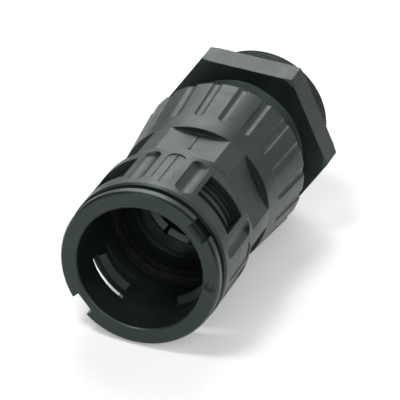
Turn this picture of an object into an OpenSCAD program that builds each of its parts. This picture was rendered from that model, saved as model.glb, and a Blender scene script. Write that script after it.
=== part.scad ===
// Liquidtight conduit connector with a cable clamp: a corrugated conduit snaps into the windowed
// mouth, and the far end screws into an enclosure wall.
//
// Every piece is drawn along its own Z axis, with zero at the rear face of the hexagon, where it
// seats on the enclosure, and the mouth at the positive end. lay_down() then turns that axis to
// -Y, so that the connector lies with one hexagon flat down and its mouth to the front.

/* [Connection to the enclosure] */
// Outside diameter of the connection thread
thread_d = 40; // [38:0.5:41]
// Length of the connection thread
thread_len = 12; // [10:0.5:16]
// Width of the hexagon across its flats
hex_af = 46; // [45:0.5:50]
// Thickness of the hexagon
hex_len = 9.5; // [7:0.5:13]
// Diameter of the cord of the O-ring at the thread root
o_ring_cord = 2.2; // [1.8:0.1:2.8]

/* [Cable clamp] */
// Narrowest free diameter of the cable passage
passage_d = 26; // [24:0.5:27]
// Bore of the body behind the clamp
body_bore_d = 31; // [29:0.5:32]
// Thickness of the cable seal, with its ribs
cable_seal_t = 1.95; // [1.7:0.05:2.2]
// Number of slots between the clamping fingers
finger_slots = 12; // [8:2:16]
// Width of each of those slots
finger_slot_w = 1.2; // [0.8:0.1:1.8]
// Thickness of the clamping fingers
finger_t = 2; // [1.6:0.05:2.1]
// Wall of the threaded spigot around the fingers
spigot_wall = 2.8; // [2.4:0.1:3]
// Length of that spigot in front of the hexagon
spigot_len = 30; // [28:0.5:31]
// Length of the cone that closes the fingers
cone_len = 8; // [7.5:0.5:9]
// Depth of the sealing ribs in the cable seal
seal_rib = 0.6; // [0.3:0.1:0.8]

/* [Ribbed skirt] */
// Gap between the hexagon and the skirt as shipped
skirt_gap = 13; // [11:0.5:14]
// Length of the ribbed skirt
skirt_len = 25.5; // [24.5:0.5:28]
// Wall of the skirt at its open end
skirt_wall = 3.9; // [3.6:0.1:4.6]
// Wall of the skirt at its narrow end
skirt_front_wall = 1.6; // [1.4:0.1:2.4]
// Number of grip grooves around the skirt
groove_n = 20; // [12:4:24]
// Width of each groove
groove_w = 2.8; // [2.2:0.2:3.4]
// Depth of each groove
groove_depth = 0.6; // [0.3:0.1:0.8]
// Length of each groove, from the open end
groove_len = 19; // [14:0.5:20]

/* [Wrench flats] */
// Width across the wrench flats
flats_af = 39.6; // [39.4:0.2:41.4]
// Length of the waist with the flats
flats_len = 15; // [13:0.5:20]
// How far the waist lies below the sleeve
waist_step = 0.9; // [0.6:0.1:1.2]

/* [Windowed sleeve] */
// Length of the sleeve in front of the flats
sleeve_len = 24.8; // [24:0.1:30]
// Wall of the sleeve
sleeve_wall = 2.2; // [1.8:0.1:2.6]
// Width of each latch window
window_w = 13.5; // [11:0.5:15]
// Length of each latch window
window_len = 12; // [11.5:0.5:13]
// Distance from the rim of the sleeve to the windows
window_edge = 5.8; // [5:0.1:8]
// Width of the finger scoops between the windows
scoop_w = 5; // [4:0.2:5.6]
// Length of the finger scoops
scoop_len = 18.5; // [16:0.5:21]
// Depth of the finger scoops
scoop_depth = 1.1; // [0.6:0.1:1.4]
// Angle from the middle of a land to each scoop
scoop_angle = 17.5; // [16.5:0.5:19]
// Width of the shallow panel in the middle of a land
panel_w = 5; // [3:0.2:5.6]
// Depth of that panel
panel_depth = 0.3; // [0.2:0.05:0.6]

/* [Locking ring] */
// Bore for the conduit
conduit_d = 35; // [34:0.2:36]
// Wall of the ring inside the sleeve
ring_wall = 2.6; // [2.2:0.1:3]
// Thickness of the flange at the mouth
flange_t = 3.1; // [2.4:0.1:4]
// Gap between the flange and the sleeve at rest
flange_gap = 2.1; // [1.8:0.1:2.8]
// How far the side of the flange lies inside the sleeve's surface
flange_inset = 0.3; // [0:0.1:0.6]
// Bevel between the face and the side of the flange
flange_bevel = 0.5; // [0.3:0.1:1]
// Width of the two release notches in the flange
notch_w = 6; // [4:0.5:8]
// Depth of the release notches
notch_depth = 2.6; // [2:0.2:3.6]
// Length of each latch bar, along the ring
latch_len = 6.5; // [5:0.5:7]
// How far the latch teeth reach into the bore
tooth_depth = 1.8; // [1:0.1:2.4]
// How far the latch ribs reach into the windows
latch_rib = 0.2; // [0.1:0.1:0.6]

/* [Conduit seal] */
// Thickness of the seal around the conduit
seal_t = 1.35; // [1.1:0.05:1.4]
// Length of the seal
seal_len = 6.4; // [5:0.2:6.6]
// How far the seal's lips reach into the conduit's bore
seal_lip = 0.6; // [0.3:0.1:0.9]

/* [Clearances] */
// Radial play of the locking ring in the sleeve
ring_play = 0.1; // [0.05:0.01:0.15]
// Radial play of the skirt's thread on the spigot
thread_play = 0.1; // [0.05:0.01:0.15]
// Radial play of pieces that are slipped into a seat
seat_play = 0.05; // [0.03:0.01:0.1]
// Gap between the resting fingers and their cone
cone_play = 0.35; // [0.2:0.05:0.5]

/* [Hidden] */
$fn = 120;
far = 60;               // reach of a cutter past anything it cuts
eps = 0.01;             // overrun of a cutter past a face
weld = 0.1;             // overlap of two forms that make one solid
edge = 0.5;             // small moulded bevel
soft_edge = 0.3;        // smaller bevel, on thin forms

// Stations along the axis, from the seat to the mouth
spigot_front = hex_len + spigot_len;
skirt_end = hex_len + skirt_gap;
skirt_front = skirt_end + skirt_len;
flats_front = skirt_front + flats_len;
rim = flats_front + sleeve_len;
flange_back = rim + flange_gap;
mouth = flange_back + flange_t;
window_front = rim - window_edge;
window_back = window_front - window_len;

// Connection thread
thread_r = thread_d / 2;
thread_lead = 1;                            // bevel at the start of each thread and bore
o_ring_bite = 1.6;                          // depth of the groove for the O-ring
root_r = thread_r - o_ring_bite;
thread_undercut = 0.6;                      // free length between the O-ring and the thread
hex_chamfer = 0.7;                          // length of the chamfer on the hexagon's corners
hex_face_rim = 2.3;                         // how far the round face stands out past the flats

// Clamp, from the cable passage outwards
passage_r = passage_d / 2;
finger_in_r = passage_r + cable_seal_t;
cage_r = finger_in_r + finger_t;
cage_bore_r = cage_r + seat_play;
clamp_r = cage_bore_r + spigot_wall;
nut_bore_r = clamp_r + thread_play;
skirt_end_r = nut_bore_r + skirt_wall;
skirt_front_r = nut_bore_r + skirt_front_wall;
skirt_taper = atan((skirt_end_r - skirt_front_r) / skirt_len);
nut_lead = 0.8;                             // bevel at the skirt's open end
spigot_play = 1.5;                          // axial gap in front of the spigot
cage_step = 0.2;                            // axial gap behind the cage
cage_depth = 15.5;                          // from the spigot's end to the cage's shoulder
cage_seat = spigot_front - cage_depth;
cage_back = cage_seat + cage_step;
cage_floor = 1.5;                           // thickness of the cage's inner rim
cage_ring = 5;                              // solid length of the cage behind its fingers
cage_rim_r = passage_r + 0.8;
cone_r = cage_bore_r + 0.6;
cone_back = spigot_front + spigot_play + 1;
cone_front = cone_back + cone_len;
cone_slope = (cone_r - passage_r) / cone_len;
finger_bend = cone_back + (cone_r - cone_play - cage_r) / cone_slope;
finger_tip = cone_back + cone_len / 2;
finger_tip_r = cage_r - cone_slope * (finger_tip - finger_bend);
nose_r = passage_r + 0.5;
nose_len = 1.4;
nose_back = finger_tip - nose_len - (finger_in_r - nose_r);

// Mouth
conduit_r = conduit_d / 2;
ring_r = conduit_r + ring_wall;
socket_r = ring_r + ring_play;
sleeve_r = socket_r + sleeve_wall;
waist_r = sleeve_r - waist_step;
flange_r = sleeve_r - flange_inset;
face_r = flange_r - flange_bevel;
lip_r = conduit_r - seal_lip;
seal_r = lip_r + seal_t;
seal_seat_r = seal_r + seat_play;
seal_pocket = 7.2;                          // depth of the seat of the conduit seal
ring_step = flats_front + 0.2;              // step in the housing behind the ring
ring_end = ring_step + flange_gap;
throat_front = ring_step - seal_pocket;     // floor that the conduit's end meets
throat_lead = 1;                            // bevel of the passage at that floor
mouth_lead = 0.6;                           // bevel of the sleeve's bore at the rim
waist_rise = 1;                             // length of the step from the skirt to the waist
sleeve_rise = 3;                            // length of the slope from the waist to the sleeve
window_depth = 6;                           // reach of the window cutters below the surface
panel_len = 17.5;                           // length of the panels on the lands
panel_front = rim - 3.3;
latch_back = window_back + 1.5;
latch_front = latch_back + latch_len;
bar_recess = 0.2;                           // how far ring and bars lie back behind the socket
bar_in_r = conduit_r + bar_recess;
windows = [45, 135, 225, 315];
lands = [0, 90, 180, 270];
parting = [90, 270];                        // where the two halves of the mould met
notches = [45, 225];

module lay_down() {
    rotate([90, 0, 0]) children();
}

// Ring with the section given as [radius, station] points
module turned(points) {
    rotate_extrude() polygon(points);
}

// Hexagonal bar across af, with a flat at the top
module hex_bar(af, len) {
    cylinder(r = af / 2 / cos(30), h = len, $fn = 6);
}

// Cutter for a round-ended trough, w wide and depth deep, in a face at x = 0 from z = 0 to len
module trough(w, depth, len) {
    ball_r = (w * w / 4 + depth * depth) / (2 * depth);
    translate([ball_r - depth, 0, w / 2]) {
        cylinder(r = ball_r, h = len - w, $fn = 48);
        for (end = [0, len - w])
            translate([0, 0, end]) sphere(r = ball_r, $fn = 48);
    }
}

// Hexagon with its corners chamfered at both faces
module chamfered_hexagon() {
    face_rim_r = hex_af / 2 + hex_face_rim;
    outer_r = hex_af / 2 / cos(30) + soft_edge;
    intersection() {
        hex_bar(hex_af, hex_len);
        turned([[0, 0], [face_rim_r, 0], [outer_r, hex_chamfer], [outer_r, hex_len - hex_chamfer],
                [face_rim_r, hex_len], [0, hex_len]]);
    }
}

/* Body that screws into the enclosure: thread, hexagon and clamp spigot */
module gland_body() {
    thread_end = -thread_len;
    bore_r = body_bore_d / 2;
    color([0.20, 0.21, 0.21]) lay_down() difference() {
        union() {
            chamfered_hexagon();
            turned([[0, thread_end], [thread_r - thread_lead, thread_end],
                    [thread_r, thread_end + thread_lead], [thread_r, -o_ring_cord - thread_undercut],
                    [root_r, -o_ring_cord], [root_r, weld], [0, weld]]);
            turned([[0, hex_len - weld], [clamp_r, hex_len - weld], [clamp_r, spigot_front - thread_lead],
                    [clamp_r - thread_lead, spigot_front], [0, spigot_front]]);
        }
        translate([0, 0, thread_end - eps]) cylinder(r = bore_r, h = far * 2);
        translate([0, 0, cage_seat]) cylinder(r = cage_bore_r, h = far);
        turned([[0, thread_end - eps], [bore_r + thread_lead, thread_end - eps],
                [bore_r, thread_end + thread_lead], [0, thread_end + thread_lead]]);
    }
}

/* O-ring that seals the hexagon against the enclosure wall */
module enclosure_o_ring() {
    cord_r = o_ring_cord / 2;
    color([0.07, 0.07, 0.07]) lay_down()
        translate([0, 0, -cord_r - seat_play]) rotate_extrude()
            translate([root_r + seat_play + cord_r, 0]) circle(r = cord_r, $fn = 48);
}

/* Cage of fingers that the cone presses onto the cable */
module clamping_cage() {
    color([0.55, 0.56, 0.55]) lay_down() difference() {
        turned([[cage_rim_r, cage_back], [cage_r, cage_back], [cage_r, finger_bend],
                [finger_tip_r, finger_tip], [nose_r, finger_tip], [nose_r, finger_tip - nose_len],
                [finger_in_r, nose_back], [finger_in_r, cage_back + cage_floor],
                [cage_rim_r, cage_back + cage_floor]]);
        for (i = [0 : finger_slots - 1])
            rotate([0, 0, 360 * i / finger_slots])
                translate([0, -finger_slot_w / 2, cage_back + cage_ring])
                    cube([far, finger_slot_w, far]);
    }
}

/* Rubber sleeve inside the cage, with sealing ribs around the cable */
module cable_seal() {
    back = cage_back + cage_floor;
    front = nose_back - 2 * seat_play;
    out_r = finger_in_r - seat_play;
    valley_r = passage_r + seal_rib;
    ribs = 4;
    rib_pitch = (front - back) / ribs;
    color([0.10, 0.10, 0.10]) lay_down() {
        turned([[valley_r, back], [out_r, back], [out_r, front], [valley_r, front]]);
        for (i = [0 : ribs - 1])
            translate([0, 0, back + i * rib_pitch])
                turned([[valley_r + eps, rib_pitch * 0.15], [passage_r, rib_pitch * 0.4],
                        [passage_r, rib_pitch * 0.6], [valley_r + eps, rib_pitch * 0.85]]);
    }
}

// One grip groove of the skirt, open at the skirt's end
module grip_groove() {
    overrun = 5;
    translate([skirt_end_r, 0, skirt_end]) rotate([0, -skirt_taper, 0])
        translate([0, 0, -overrun]) trough(groove_w, groove_depth, groove_len + overrun);
}

// Six flats cut into the waist, which run out softly into the sleeve
module wrench_flats() {
    run_out = 5.5;
    rise = 3.2;
    run_back = flats_front - 1;
    difference() {
        translate([0, 0, skirt_front]) cylinder(r = far, h = run_back + run_out - skirt_front - eps);
        translate([0, 0, skirt_front - eps]) hex_bar(flats_af, run_back - skirt_front + 2 * eps);
        translate([0, 0, run_back])
            cylinder(r1 = flats_af / 2 / cos(30), r2 = (flats_af / 2 + rise) / cos(30), h = run_out,
                     $fn = 6);
    }
}

/* Housing in one moulding: windowed sleeve, wrench flats and ribbed clamp skirt */
module conduit_housing() {
    color([0.23, 0.24, 0.24]) lay_down() difference() {
        turned([[0, skirt_end], [skirt_end_r - edge, skirt_end], [skirt_end_r, skirt_end + edge],
                [skirt_front_r, skirt_front], [waist_r, skirt_front + waist_rise], [waist_r, flats_front],
                [sleeve_r, flats_front + sleeve_rise], [sleeve_r, rim - edge], [sleeve_r - edge, rim],
                [0, rim]]);
        turned([[0, skirt_end - eps], [nut_bore_r + nut_lead, skirt_end - eps],
                [nut_bore_r, skirt_end + nut_lead], [nut_bore_r, spigot_front + spigot_play],
                [cone_r, cone_back], [passage_r, cone_front], [passage_r, throat_front - throat_lead],
                [passage_r + throat_lead, throat_front], [seal_seat_r, throat_front],
                [seal_seat_r, ring_step], [socket_r, ring_step], [socket_r, rim - mouth_lead],
                [socket_r + mouth_lead, rim + eps], [0, rim + eps]]);
        wrench_flats();
        for (i = [0 : groove_n - 1])
            rotate([0, 0, 360 * (i + 0.5) / groove_n]) grip_groove();
        for (a = windows)
            rotate([0, 0, a]) translate([waist_r - window_depth, -window_w / 2, window_back])
                cube([far, window_w, window_len]);
        for (a = lands) {
            for (side = [-1, 1])
                rotate([0, 0, a + side * scoop_angle]) scoop();
            rotate([0, 0, a]) land_panel();
        }
        for (a = parting)
            rotate([0, 0, a]) mould_seam();
    }
}

// Ball-ended recess beside a window
module scoop() {
    scoop_front = rim - 2.6;
    translate([sleeve_r, 0, scoop_front - scoop_len]) trough(scoop_w, scoop_depth, scoop_len);
}

// Shallow round-ended panel in the middle of a land
module land_panel() {
    end_r = panel_w / 2;
    translate([sleeve_r - panel_depth, 0, panel_front - panel_len])
        rotate([90, 0, 90]) linear_extrude(far) {
            translate([-end_r, end_r]) square([panel_w, panel_len - panel_w]);
            for (end = [end_r, panel_len - end_r])
                translate([0, end]) circle(r = end_r, $fn = 32);
        }
}

// Fine line that the mould left on a flat and in a panel, with a round mark at the line's end
module mould_seam() {
    seam_w = 0.3;
    seam_depth = 0.15;
    mark_station = skirt_front + 9.6;
    mark_r = 0.45;
    flat_r = flats_af / 2;
    panel_floor = sleeve_r - panel_depth;
    translate([flat_r - seam_depth, -seam_w / 2, skirt_front + edge])
        cube([far, seam_w, mark_station - skirt_front - edge]);
    translate([flat_r - 2 * seam_depth, 0, mark_station]) rotate([0, 90, 0])
        cylinder(r = mark_r, h = far, $fn = 24);
    translate([panel_floor - seam_depth, -seam_w / 2, panel_front - panel_len + edge])
        cube([far, seam_w, panel_len - 2 * edge]);
}

/* Seal around the end of the conduit, with two lips that close on it */
module conduit_seal() {
    back = throat_front;
    front = back + seal_len;
    valley_r = lip_r + 0.5;
    color([0.09, 0.09, 0.09]) lay_down()
        turned([[valley_r, back], [seal_r, back], [seal_r, front], [valley_r, front],
                [lip_r, front - seal_len * 0.15], [valley_r, front - seal_len * 0.4],
                [lip_r, front - seal_len * 0.7]]);
}

// Section of the locking ring, over an arc of so many degrees
module ring_arc(span, points) {
    rotate([0, 0, -span / 2]) rotate_extrude(angle = span) polygon(points);
}

// One latch bar across a slot of the ring: two ribs to the outside, a tooth to the inside
module latch_bar() {
    core_r = ring_r - 0.8;
    root = bar_in_r + soft_edge;
    rib_r = ring_r + latch_rib;
    rib_w = latch_len / 4;
    rib_span = 36;
    tooth_r = conduit_r - tooth_depth;
    tooth_span = 40;
    crest = tooth_depth / 2;
    core_span = 50;
    ring_arc(core_span, [[bar_in_r, latch_back], [core_r, latch_back], [core_r, latch_front],
                         [bar_in_r, latch_front]]);
    for (front = [latch_back + rib_w, latch_front - rib_w])
        ring_arc(rib_span, [[core_r - soft_edge, front - rib_w], [rib_r, front - rib_w * 0.8],
                            [rib_r, front], [core_r - soft_edge, front]]);
    ring_arc(tooth_span, [[root, latch_front], [bar_in_r, latch_front], [tooth_r, latch_front - crest],
                          [tooth_r, latch_front - 2 * crest], [bar_in_r, latch_front - 3 * crest],
                          [root, latch_front - 3 * crest]]);
}

// Ring inside the sleeve with the flange in front of it, slotted for the latch bars
module slotted_ring() {
    bore_lead = 0.4;
    slot_rim = 0.1;
    difference() {
        turned([[bar_in_r, ring_end], [ring_r - edge, ring_end], [ring_r, ring_end + edge],
                [ring_r, flange_back], [flange_r - soft_edge, flange_back],
                [flange_r, flange_back + soft_edge], [flange_r, mouth - flange_bevel - soft_edge],
                [face_r, mouth], [conduit_r + bore_lead, mouth], [conduit_r, mouth - bore_lead],
                [conduit_r, window_front], [bar_in_r, window_front]]);
        for (a = windows)
            rotate([0, 0, a])
                translate([ring_r - window_depth, slot_rim - window_w / 2, window_back + slot_rim])
                    cube([far, window_w - 2 * slot_rim, window_len - 2 * slot_rim]);
    }
}

/* Locking ring: flange at the mouth, and four latch bars that show in the windows */
module locking_ring() {
    mark_place = (conduit_r + face_r) / 2;
    mark_r = 1.5;
    mark_depth = 0.5;
    dome_r = 1;
    color([0.24, 0.25, 0.25]) lay_down() difference() {
        union() {
            slotted_ring();
            for (a = windows)
                rotate([0, 0, a]) latch_bar();
        }
        for (a = notches)
            rotate([0, 0, a]) translate([flange_r - notch_depth, -notch_w / 2, flange_back - eps])
                cube([far, notch_w, far]);
        translate([mark_place, 0, mouth - mark_depth]) difference() {
            cylinder(r = mark_r, h = 1, $fn = 32);
            translate([0, 0, -dome_r / 2]) sphere(r = dome_r, $fn = 32);
        }
    }
}

gland_body();
enclosure_o_ring();
clamping_cage();
cable_seal();
conduit_housing();
conduit_seal();
locking_ring();
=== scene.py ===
import math

import bmesh
import bpy
from mathutils import Matrix, Vector


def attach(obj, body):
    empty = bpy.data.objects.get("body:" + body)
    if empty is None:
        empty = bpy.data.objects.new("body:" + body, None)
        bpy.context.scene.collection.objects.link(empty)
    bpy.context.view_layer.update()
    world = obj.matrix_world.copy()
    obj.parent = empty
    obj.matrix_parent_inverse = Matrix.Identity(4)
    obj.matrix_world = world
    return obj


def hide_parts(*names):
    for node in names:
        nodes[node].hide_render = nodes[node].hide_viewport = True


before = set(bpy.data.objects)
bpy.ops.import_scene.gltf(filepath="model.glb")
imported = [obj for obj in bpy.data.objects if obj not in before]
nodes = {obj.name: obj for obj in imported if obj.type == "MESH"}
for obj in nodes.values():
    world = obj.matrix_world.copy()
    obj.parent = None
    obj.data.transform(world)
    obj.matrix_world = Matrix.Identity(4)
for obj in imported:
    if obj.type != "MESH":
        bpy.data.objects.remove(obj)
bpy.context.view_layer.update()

MM = 0.001
SKIRT_END_Y = -22.5 * MM

# Camera at the photograph's angle, with a long lens from about a metre away
CAM_AZIMUTH = 15.5
CAM_ELEVATION = 27.3
CAM_ROLL = -6.65
CAM_DISTANCE = 1.0743
CAM_AIM = Vector((1.3, -46.0, -0.8)) * MM
CAM_LENS = 354.7
CAM_SENSOR = 36.0


def camera_axes(azimuth, elevation, roll):
    """Right, up and forward directions of a camera that looks along +Y at azimuth 0."""
    a, e, r = (math.radians(v) for v in (azimuth, elevation, roll))
    forward = Vector((-math.sin(a) * math.cos(e), math.cos(a) * math.cos(e), -math.sin(e)))
    level = forward.cross(Vector((0, 0, 1))).normalized()
    upright = level.cross(forward)
    right = level * math.cos(r) - upright * math.sin(r)
    up = level * math.sin(r) + upright * math.cos(r)
    return right, up, forward


def make_camera():
    right, up, forward = camera_axes(CAM_AZIMUTH, CAM_ELEVATION, CAM_ROLL)
    data = bpy.data.cameras.new("camera")
    data.lens = CAM_LENS
    data.sensor_width = CAM_SENSOR
    data.clip_start = 0.05
    data.clip_end = 20.0
    camera = bpy.data.objects.new("camera", data)
    bpy.context.scene.collection.objects.link(camera)
    turn = Matrix((right, up, -forward)).transposed()
    camera.matrix_world = Matrix.Translation(CAM_AIM - forward * CAM_DISTANCE) @ turn.to_4x4()
    bpy.context.scene.camera = camera


# Materials

# Chosen to match the photograph's greenish cast, which may be its white balance
SPECULAR_TINT = (0.80, 1.0, 0.95, 1)
PLASTIC_IOR = 1.53


def new_material(name):
    """An empty node material, with its tree, its shader and a coordinate node."""
    material = bpy.data.materials.new(name)
    material.use_nodes = True
    tree = material.node_tree
    tree.nodes.clear()
    output = tree.nodes.new("ShaderNodeOutputMaterial")
    shader = tree.nodes.new("ShaderNodeBsdfPrincipled")
    coords = tree.nodes.new("ShaderNodeTexCoord")
    tree.links.new(shader.outputs["BSDF"], output.inputs["Surface"])
    return material, tree, shader, coords


def noise(tree, coords, scale, detail, rough=0.5):
    """Noise in the piece's own coordinates, scale in features per metre."""
    node = tree.nodes.new("ShaderNodeTexNoise")
    node.inputs["Scale"].default_value = scale
    node.inputs["Detail"].default_value = detail
    node.inputs["Roughness"].default_value = rough
    tree.links.new(coords.outputs["Object"], node.inputs["Vector"])
    return node.outputs["Fac"]


def spread(tree, source, low, high, start=0.35, end=0.65):
    """Maps a noise's middle band to the span from low to high."""
    node = tree.nodes.new("ShaderNodeMapRange")
    node.inputs["From Min"].default_value = start
    node.inputs["From Max"].default_value = end
    node.inputs["To Min"].default_value = low
    node.inputs["To Max"].default_value = high
    tree.links.new(source, node.inputs["Value"])
    return node.outputs["Result"]


def blend_colours(tree, factor, first, second):
    node = tree.nodes.new("ShaderNodeMix")
    node.data_type = "RGBA"
    node.inputs["A"].default_value = (*first, 1)
    node.inputs["B"].default_value = (*second, 1)
    tree.links.new(factor, node.inputs["Factor"])
    return node.outputs["Result"]


def bump(tree, height, distance, strength, normal=None):
    """Bump of the given height in millimetres, laid over another normal."""
    node = tree.nodes.new("ShaderNodeBump")
    node.inputs["Strength"].default_value = strength
    node.inputs["Distance"].default_value = distance * MM
    tree.links.new(height, node.inputs["Height"])
    if normal is not None:
        tree.links.new(normal, node.inputs["Normal"])
    return node.outputs["Normal"]


def moulded_plastic(name, colour, rough, grain=0.45, rounding=0.35):
    """Moulded polyamide: faint flow clouds, a fine eroded grain and softened edges."""
    material, tree, shader, coords = new_material(name)
    clouds = noise(tree, coords, 55, 4)
    patches = noise(tree, coords, 240, 5, 0.6)
    grit = noise(tree, coords, 2600, 3, 0.6)
    dark = tuple(c * 0.85 for c in colour)
    pale = tuple(c * 1.3 + 0.001 for c in colour)
    tree.links.new(blend_colours(tree, spread(tree, clouds, 0, 1), dark, pale), shader.inputs["Base Color"])
    tree.links.new(spread(tree, patches, rough - 0.04, rough + 0.05), shader.inputs["Roughness"])
    shader.inputs["IOR"].default_value = PLASTIC_IOR
    shader.inputs["Specular Tint"].default_value = SPECULAR_TINT
    edges = tree.nodes.new("ShaderNodeBevel")
    edges.samples = 6
    edges.inputs["Radius"].default_value = rounding * MM
    waves = bump(tree, patches, 0.25, 0.08, edges.outputs["Normal"])
    tree.links.new(bump(tree, grit, 0.03, grain, waves), shader.inputs["Normal"])
    return material


def moulded_rubber(name, colour):
    """Soft matt rubber with a dusty bloom."""
    material, tree, shader, coords = new_material(name)
    bloom = noise(tree, coords, 320, 5, 0.6)
    grit = noise(tree, coords, 3000, 2)
    pale = tuple(c * 1.6 + 0.003 for c in colour)
    tree.links.new(blend_colours(tree, spread(tree, bloom, 0, 1), colour, pale), shader.inputs["Base Color"])
    tree.links.new(spread(tree, bloom, 0.55, 0.72), shader.inputs["Roughness"])
    shader.inputs["Specular Tint"].default_value = SPECULAR_TINT
    tree.links.new(bump(tree, grit, 0.03, 0.3), shader.inputs["Normal"])
    return material


PLASTIC_BLACK = (0.006, 0.010, 0.008)
CAGE_GREY = (0.62, 0.68, 0.70)
FINISHES = {
    "gland_body": moulded_plastic("body_plastic", (0.005, 0.009, 0.007), 0.42),
    "enclosure_o_ring": moulded_rubber("o_ring_rubber", (0.010, 0.010, 0.010)),
    "clamping_cage": moulded_plastic("cage_plastic", CAGE_GREY, 0.42),
    "cable_seal": moulded_rubber("seal_rubber", (0.012, 0.012, 0.012)),
    "conduit_housing": moulded_plastic("housing_plastic", PLASTIC_BLACK, 0.42),
    "conduit_seal": moulded_rubber("conduit_seal_rubber", (0.010, 0.010, 0.010)),
    "locking_ring": moulded_plastic("ring_plastic", PLASTIC_BLACK, 0.40),
}


def dress(piece, material):
    """Gives every slot of a piece the same finish."""
    if not piece.data.materials:
        piece.data.materials.append(material)
    for i in range(len(piece.material_slots)):
        piece.material_slots[i].material = material


# The body's two threads, which the CAD body holds as plain cylinders at their crests

TURN_STEPS = 96
CONNECTION_THREAD = {"crest": 20.0, "root": 19.08, "pitch": 1.5, "start": 3.0, "end": 11.9}
# The clamp's pitch isn't measured: it follows the joint, which moves 9 mm in six turns
CLAMP_THREAD = {"crest": 19.8, "root": 18.88, "pitch": 1.5, "start": -38.7, "end": -9.9}
THREAD_FOOT = 0.15            # the ridge starts so far below the root
FLANK_SHARE = 0.44            # half the ridge's width at its foot, as a share of the pitch
CREST_SHARE = 0.07            # half its width at the crest
RUN_OUT_SHARE = 0.35


def sink_thread_cylinder(shell, thread):
    """Moves the plain cylinder of a thread from its crest down to its root."""
    for vertex in shell.verts:
        radius = math.hypot(vertex.co.x, vertex.co.z) / MM
        station = vertex.co.y / MM
        if abs(radius - thread["crest"]) < 0.03 and thread["start"] - 0.6 < station < thread["end"] + 0.6:
            scale = thread["root"] / radius
            vertex.co.x *= scale
            vertex.co.z *= scale


def add_thread_ridge(shell, thread):
    """Winds a right-hand ridge of about 55 degrees, with a soft run-out at both ends."""
    length = thread["end"] - thread["start"]
    steps = round(length / thread["pitch"] * TURN_STEPS)
    foot = thread["root"] - THREAD_FOOT
    half = thread["pitch"] * FLANK_SHARE
    crest_half = thread["pitch"] * CREST_SHARE
    rings = []
    for step in range(steps + 1):
        angle = 2 * math.pi * step / TURN_STEPS
        station = thread["start"] + length * step / steps
        end_gap = min(station - thread["start"], thread["end"] - station)
        growth = min(1.0, 0.15 + end_gap / (RUN_OUT_SHARE * thread["pitch"]))
        top = foot + (thread["crest"] - foot) * growth
        ring = []
        for radius, along in ((foot, -half), (top, -crest_half), (top, crest_half), (foot, half)):
            y = min(max(station + along, thread["start"] - 0.3), thread["end"] + 0.1)
            place = (radius * math.sin(angle) * MM, y * MM, radius * math.cos(angle) * MM)
            ring.append(shell.verts.new(place))
        rings.append(ring)
    for first, second in zip(rings, rings[1:]):
        for i in range(4):
            j = (i + 1) % 4
            shell.faces.new((first[i], first[j], second[j], second[i]))
    shell.faces.new(rings[0])
    shell.faces.new(rings[-1][::-1])


SHARP_ANGLE = math.radians(25)


def closed_copy(node_name):
    """A node's mesh, with the open borders of its faces marked sharp and then welded."""
    node = nodes[node_name]
    shell = bmesh.new()
    shell.from_mesh(node.data)
    bmesh.ops.transform(shell, matrix=node.matrix_world, verts=shell.verts)
    for edge in shell.edges:
        edge.smooth = not edge.is_boundary
    bmesh.ops.remove_doubles(shell, verts=shell.verts, dist=0.001 * MM)
    return shell


def add_piece(name, shell, node_name, body):
    """Finishes a shell as the piece that stands for a CAD node."""
    bmesh.ops.recalc_face_normals(shell, faces=shell.faces)
    for edge in shell.edges:
        if edge.is_manifold and edge.calc_face_angle() > SHARP_ANGLE:
            edge.smooth = False
    for face in shell.faces:
        face.smooth = True
    mesh = bpy.data.meshes.new(name)
    shell.to_mesh(mesh)
    shell.free()
    piece = bpy.data.objects.new(name, mesh)
    bpy.context.scene.collection.objects.link(piece)
    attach(piece, body)
    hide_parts(node_name)
    return piece


def make_threaded_body():
    """The CAD body's shape again, with both threads as wound ridges."""
    shell = closed_copy("gland_body")
    for thread in (CONNECTION_THREAD, CLAMP_THREAD):
        sink_thread_cylinder(shell, thread)
        add_thread_ridge(shell, thread)
    return add_piece("threaded_body", shell, "gland_body", "gland")


# The grip groove at 45 degrees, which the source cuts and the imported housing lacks

GROOVE_ANGLE = math.radians(45)
GROOVE_R = 1.933
GROOVE_RISE = 1.333           # the cutter's axis lies so far outside the skirt's surface
GROOVE_ENDS = (-3.6, 17.6)
SKIRT_END_R = 23.8
SKIRT_FRONT_R = 21.5
SKIRT_LEN = 25.5
SKIRT_TAPER = math.atan((SKIRT_END_R - SKIRT_FRONT_R) / SKIRT_LEN)


def groove_cutter():
    """Round bar with ball ends, laid along the skirt's slope."""
    length = (GROOVE_ENDS[1] - GROOVE_ENDS[0]) * MM
    shell = bmesh.new()
    bmesh.ops.create_uvsphere(shell, u_segments=48, v_segments=24, radius=GROOVE_R * MM)
    for vertex in shell.verts:
        if vertex.co.z > 0.01 * MM:
            vertex.co.z += length
    outward = Vector((math.cos(GROOVE_ANGLE), 0, math.sin(GROOVE_ANGLE)))
    forward = Vector((0, -1, 0))
    along = forward * math.cos(SKIRT_TAPER) - outward * math.sin(SKIRT_TAPER)
    away = outward * math.cos(SKIRT_TAPER) + forward * math.sin(SKIRT_TAPER)
    start = (outward * SKIRT_END_R + away * GROOVE_RISE + along * GROOVE_ENDS[0]) * MM
    start += Vector((0, SKIRT_END_Y, 0))
    turn = Matrix((away, along.cross(away), along)).transposed().to_4x4()
    bmesh.ops.transform(shell, matrix=Matrix.Translation(start) @ turn, verts=shell.verts)
    mesh = bpy.data.meshes.new("groove_cutter")
    shell.to_mesh(mesh)
    shell.free()
    cutter = bpy.data.objects.new("groove_cutter", mesh)
    bpy.context.scene.collection.objects.link(cutter)
    return cutter


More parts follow.
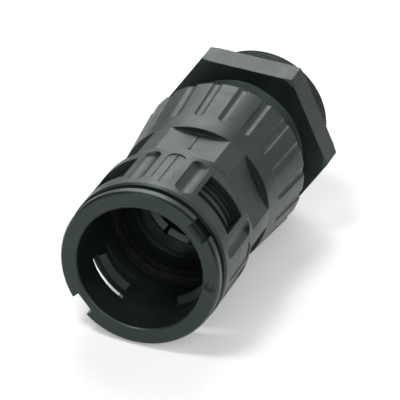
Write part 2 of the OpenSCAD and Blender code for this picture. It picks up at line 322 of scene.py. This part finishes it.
def make_grooved_housing():
    """The CAD housing's shape again, with all twenty grip grooves."""
    shell = closed_copy("conduit_housing")
    mesh = bpy.data.meshes.new("uncut_housing")
    shell.to_mesh(mesh)
    shell.free()
    uncut = bpy.data.objects.new("uncut_housing", mesh)
    bpy.context.scene.collection.objects.link(uncut)
    cutter = groove_cutter()
    cut = uncut.modifiers.new("groove", "BOOLEAN")
    cut.operation = "DIFFERENCE"
    cut.solver = "EXACT"
    cut.object = cutter
    graph = bpy.context.evaluated_depsgraph_get()
    shape = bpy.data.meshes.new_from_object(uncut.evaluated_get(graph))
    shell = bmesh.new()
    shell.from_mesh(shape)
    for spare in (uncut, cutter):
        bpy.data.objects.remove(spare)
    return add_piece("grooved_housing", shell, "conduit_housing", "housing")


# Stage: floor, world and lamps

FLOOR_DROP = 23.85 * MM       # the skirt's end rests on the floor
FLOOR_TILT = 0.84             # degrees, so that the flange rests on it too
FLOOR_HALF = 0.4
PAPER_GREY = (0.86, 0.86, 0.86, 1)
PAPER_GLOW = 0.28


def add_paper_glow(tree, shader, strength):
    """Whitens the paper for the camera and in the object's reflections, but not in diffuse light."""
    path = tree.nodes.new("ShaderNodeLightPath")
    either = tree.nodes.new("ShaderNodeMath")
    either.operation = "MAXIMUM"
    tree.links.new(path.outputs["Is Camera Ray"], either.inputs[0])
    tree.links.new(path.outputs["Is Glossy Ray"], either.inputs[1])
    level = tree.nodes.new("ShaderNodeMath")
    level.operation = "MULTIPLY"
    level.inputs[1].default_value = strength
    tree.links.new(either.outputs[0], level.inputs[0])
    glow = tree.nodes.new("ShaderNodeEmission")
    tree.links.new(level.outputs[0], glow.inputs["Strength"])
    both = tree.nodes.new("ShaderNodeAddShader")
    output = next(n for n in tree.nodes if n.type == "OUTPUT_MATERIAL")
    tree.links.new(shader.outputs["BSDF"], both.inputs[0])
    tree.links.new(glow.outputs["Emission"], both.inputs[1])
    tree.links.new(both.outputs["Shader"], output.inputs["Surface"])


def make_floor():
    mesh = bpy.data.meshes.new("floor")
    corners = [(-1, -1), (1, -1), (1, 1), (-1, 1)]
    mesh.from_pydata([(x * FLOOR_HALF, y * FLOOR_HALF, 0) for x, y in corners], [], [(0, 1, 2, 3)])
    floor = bpy.data.objects.new("floor", mesh)
    bpy.context.scene.collection.objects.link(floor)
    tilt = Matrix.Rotation(math.radians(-FLOOR_TILT), 4, "X")
    floor.matrix_world = Matrix.Translation((0, SKIRT_END_Y, -FLOOR_DROP)) @ tilt
    material, tree, shader, _ = new_material("floor_paper")
    shader.inputs["Base Color"].default_value = PAPER_GREY
    shader.inputs["Roughness"].default_value = 0.9
    shader.inputs["Specular IOR Level"].default_value = 0.0
    add_paper_glow(tree, shader, PAPER_GLOW)
    mesh.materials.append(material)


def make_world():
    world = bpy.data.worlds.new("studio")
    bpy.context.scene.world = world
    world.use_nodes = True
    tree = world.node_tree
    tree.nodes.clear()
    output = tree.nodes.new("ShaderNodeOutputWorld")
    room = tree.nodes.new("ShaderNodeBackground")
    room.inputs["Color"].default_value = (0.96, 0.98, 1.0, 1)
    room.inputs["Strength"].default_value = 0.04
    white = tree.nodes.new("ShaderNodeBackground")
    white.inputs["Color"].default_value = (1, 1, 1, 1)
    white.inputs["Strength"].default_value = 1.0
    path = tree.nodes.new("ShaderNodeLightPath")
    mix = tree.nodes.new("ShaderNodeMixShader")
    tree.links.new(path.outputs["Is Camera Ray"], mix.inputs["Fac"])
    tree.links.new(room.outputs["Background"], mix.inputs[1])
    tree.links.new(white.outputs["Background"], mix.inputs[2])
    tree.links.new(mix.outputs["Shader"], output.inputs["Surface"])


OBJECT_MIDDLE = Vector((0, -0.045, 0))


def add_softbox(name, place, size, power):
    """Square area lamp at place, in metres, turned to the object's middle."""
    data = bpy.data.lights.new(name, "AREA")
    data.shape = "SQUARE"
    data.size = size
    data.energy = power
    lamp = bpy.data.objects.new(name, data)
    bpy.context.scene.collection.objects.link(lamp)
    lamp.location = place
    lamp.rotation_mode = "QUATERNION"
    lamp.rotation_quaternion = (OBJECT_MIDDLE - Vector(place)).to_track_quat("-Z", "Y")


def light_the_studio():
    """Soft lamps whose powers were fitted to the photograph's tones."""
    add_softbox("back_box", (-0.30, 0.75, 0.85), 0.8, 6.2)
    add_softbox("back_low_box", (-0.40, 0.95, 0.50), 0.9, 3.2)
    add_softbox("side_box", (0.55, 0.90, 0.45), 0.8, 1.9)
    add_softbox("front_box", (0.34, -1.10, 0.78), 0.7, 6.4)
    add_softbox("edge_box", (-0.26, -0.48, 0.90), 0.26, 4.2)
    add_softbox("low_box", (0.78, -0.60, 0.50), 0.3, 1.6)
    add_softbox("left_box", (-0.70, -0.80, 0.70), 0.7, 1.8)


bpy.context.scene.view_settings.view_transform = "Standard"
make_camera()
for node_name, finish in FINISHES.items():
    dress(nodes[node_name], finish)
dress(make_threaded_body(), FINISHES["gland_body"])
dress(make_grooved_housing(), FINISHES["conduit_housing"])
make_floor()
make_world()
light_the_studio()
